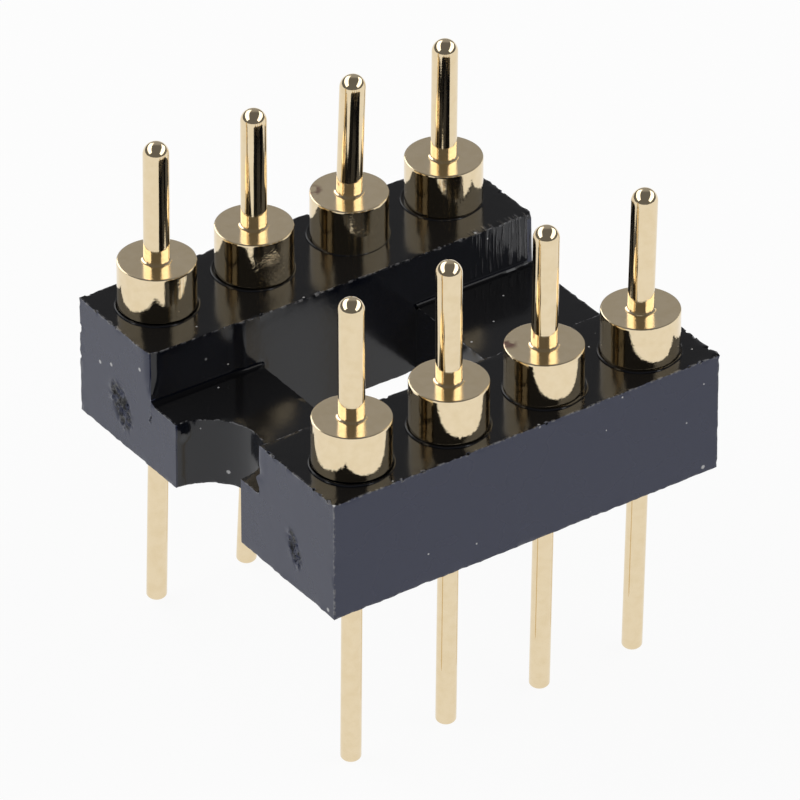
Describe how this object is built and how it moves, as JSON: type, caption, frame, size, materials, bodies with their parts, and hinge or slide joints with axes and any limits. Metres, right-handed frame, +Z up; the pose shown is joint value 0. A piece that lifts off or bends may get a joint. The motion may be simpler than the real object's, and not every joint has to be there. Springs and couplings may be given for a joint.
{
  "type": "dual in line ic header",
  "caption": "Dual-in-line header that plugs into an IC socket: a moulded black open frame with an orientation notch and two rows of gold-plated turned pins with collars.",
  "frame": {"origin": "centre of the object's base, on the plane that the ends of the tails stand on, midway between the rows and midway along them", "axes": "+Z up along the pins, from the tails to the plug pins; +X along the rows, away from the end with the orientation notch; +Y across, from the row that starts at the notch with the first pin to the other row"},
  "size_m": [0.0102, 0.01, 0.012],
  "materials": {
    "frame_plastic": "glossy moulded, with crisp, slightly ragged edges",
    "gold_plate": "gold plated over turned brass, polished"
  },
  "bodies": {
    "root": {"frame": "frame_plastic", "pin_1": "gold_plate", "pin_2": "gold_plate", "pin_3": "gold_plate", "pin_4": "gold_plate", "pin_5": "gold_plate", "pin_6": "gold_plate", "pin_7": "gold_plate", "pin_8": "gold_plate"}
  },
  "joints": []
}
